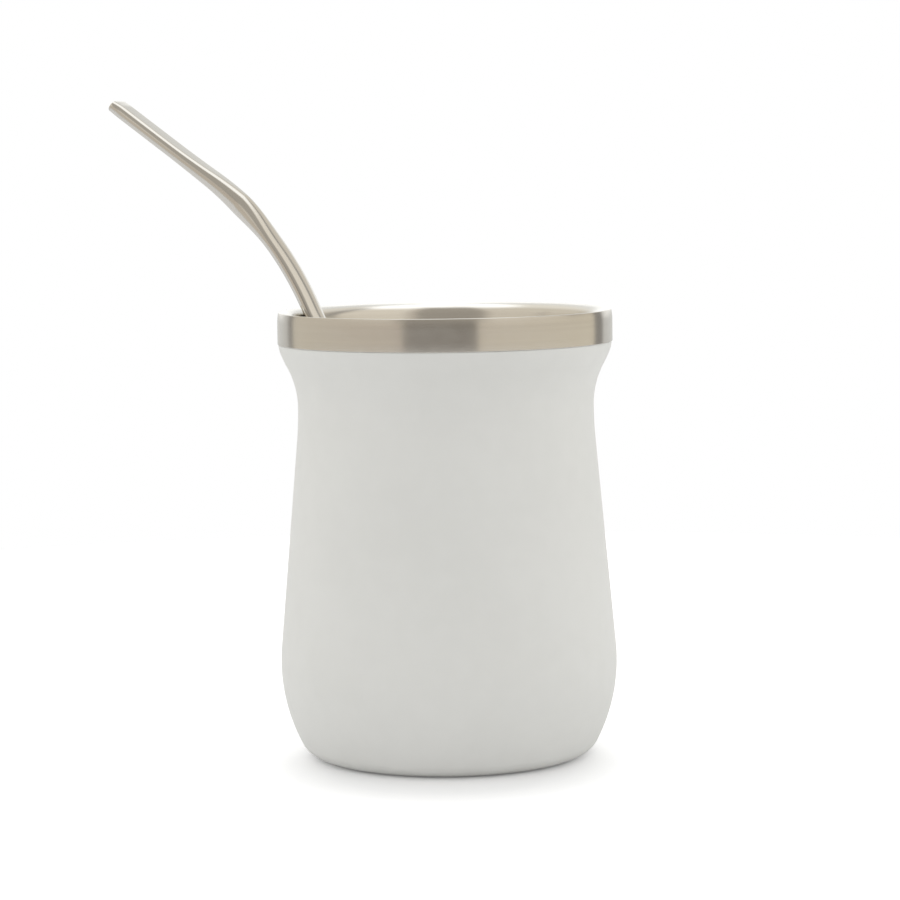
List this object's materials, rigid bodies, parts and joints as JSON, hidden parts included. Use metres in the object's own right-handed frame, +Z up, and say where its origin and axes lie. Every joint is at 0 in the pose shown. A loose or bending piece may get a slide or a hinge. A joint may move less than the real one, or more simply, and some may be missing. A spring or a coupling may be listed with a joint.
{
  "type": "mate cup",
  "caption": "White coated double-wall steel mate cup with a bare brushed rim band, holding a bent steel drinking straw with a flattened mouthpiece",
  "frame": {"origin": "centre of the foot ring, on the surface that the cup stands on", "axes": "Z up along the cup's axis, X to the right in the picture, Y away from the camera"},
  "size_m": [0.123, 0.0808, 0.1579],
  "materials": {
    "white_coating": "satin powder coat, very fine orange peel",
    "bare_steel": "brushed around the axis, warm grey",
    "plate_steel": "pressed and brushed plate",
    "straw_steel": "polished tube, fine marks along it",
    "filter_steel": "satin steel with small drilled holes"
  },
  "bodies": {
    "root": {"outer_shell": "white_coating", "inner_liner": "bare_steel", "base_plate": "plate_steel", "straw_tube": "straw_steel", "straw_filter": "filter_steel"}
  },
  "joints": []
}
